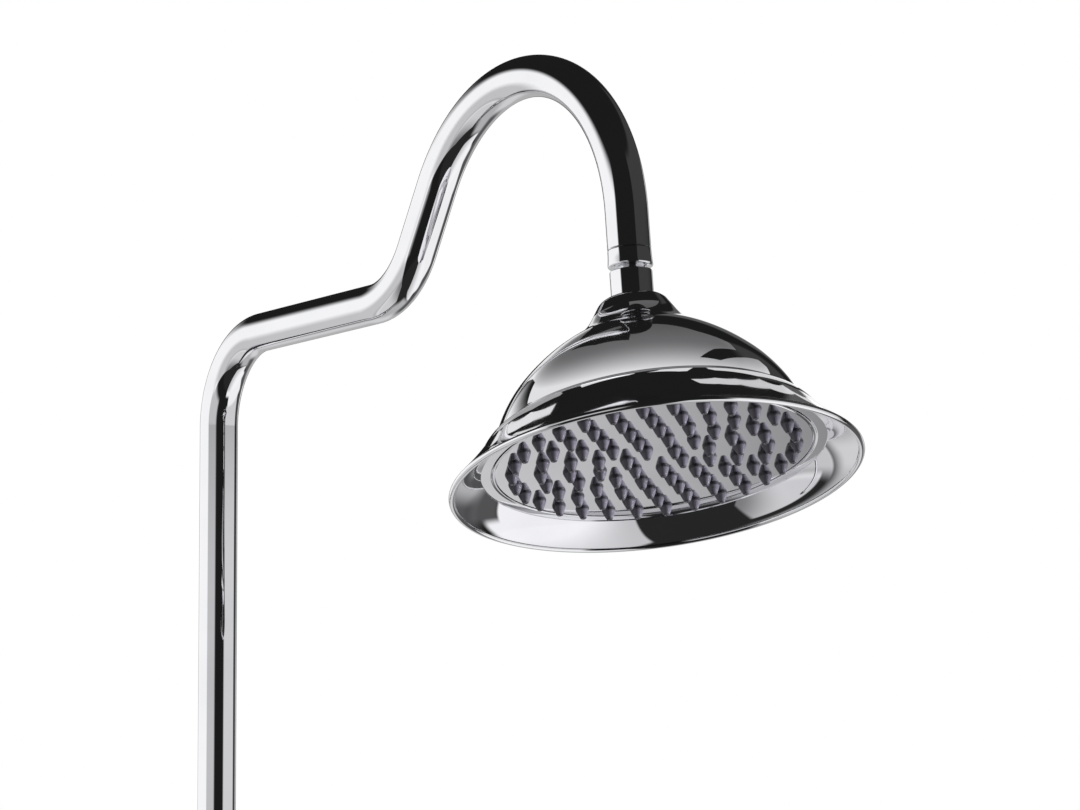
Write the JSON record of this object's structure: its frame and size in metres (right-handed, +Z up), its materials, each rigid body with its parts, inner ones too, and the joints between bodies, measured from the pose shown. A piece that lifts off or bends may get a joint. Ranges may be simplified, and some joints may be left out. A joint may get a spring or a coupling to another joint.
{
  "type": "gooseneck shower column",
  "caption": "Wall-held shower riser: a slim tube that bends outward and over in a gooseneck, with a wide bell-shaped rain head on a ball joint and a union nut at its foot.",
  "frame": {"origin": "centre of the wall bracket's back face, on the wall", "axes": "+Z up along the riser, +Y into the wall, -Y out into the room along the arm, +X to the side"},
  "size_m": [0.2055, 0.6026, 1.0238],
  "materials": {
    "black_plastic": "moulded black plastic",
    "brass": "turned brass",
    "chrome": "polished chrome plate on brass",
    "mirror_steel": "polished stainless steel",
    "nozzle_rubber": "soft dark grey silicone",
    "rubber": "matt black sealing rubber",
    "steel": "bright steel",
    "white_plastic": "slippery white plastic"
  },
  "bodies": {
    "column": {"riser_tube": "chrome", "arm_nipple": "chrome", "swivel_ball": "chrome", "seal_washer": "rubber", "filter_screen": "steel", "flow_regulator": "white_plastic", "wall_plate": "chrome", "bracket_stem": "chrome", "grub_screw": "steel", "clamp_cap": "chrome", "clamp_screws": "steel", "clamp_liner": "black_plastic", "foot_collar": "brass", "union_washer": "rubber"},
    "ball_insert": {"ball_bush": "white_plastic"},
    "ball_socket": {"ball_seat": "white_plastic"},
    "head": {"ball_housing": "brass", "seat_ring": "rubber", "feed_tube": "brass", "feed_washer": "rubber", "bell_shell": "chrome", "lip_ring": "mirror_steel", "face_plate": "mirror_steel", "nozzle_mat": "nozzle_rubber", "chamber_lid": "black_plastic", "chamber_packing": "rubber", "face_screws": "steel"},
    "cover": {"cover_flange": "chrome", "cover_ring": "rubber"},
    "nut": {"union_nut": "chrome"}
  },
  "joints": [
    {"name": "swivel_azimuth", "type": "hinge", "parent": "column", "child": "ball_insert", "pos_m": [0, -0.47997, 0.2741], "axis": [0, 0.1045, 0.9945], "continuous": true},
    {"name": "head_tilt", "type": "hinge", "parent": "ball_insert", "child": "ball_socket", "pos_m": [0, -0.47997, 0.2741], "axis": [-0.9719, 0.2343, -0.0246], "range_deg": [-21.3, 2.4]},
    {"name": "head_spin", "type": "hinge", "parent": "ball_socket", "child": "head", "pos_m": [0, -0.47997, 0.2741], "axis": [0.0387, 0.262, 0.9643], "continuous": true},
    {"name": "union_nut_spin", "type": "hinge", "parent": "column", "child": "nut", "pos_m": [0, -0.065, -0.59], "axis": [0, 0, 1], "continuous": true},
    {"name": "cover_slide", "type": "slide", "parent": "column", "child": "cover", "axis": [0, -1, 0], "range_m": [0, 0.02]}
  ]
}
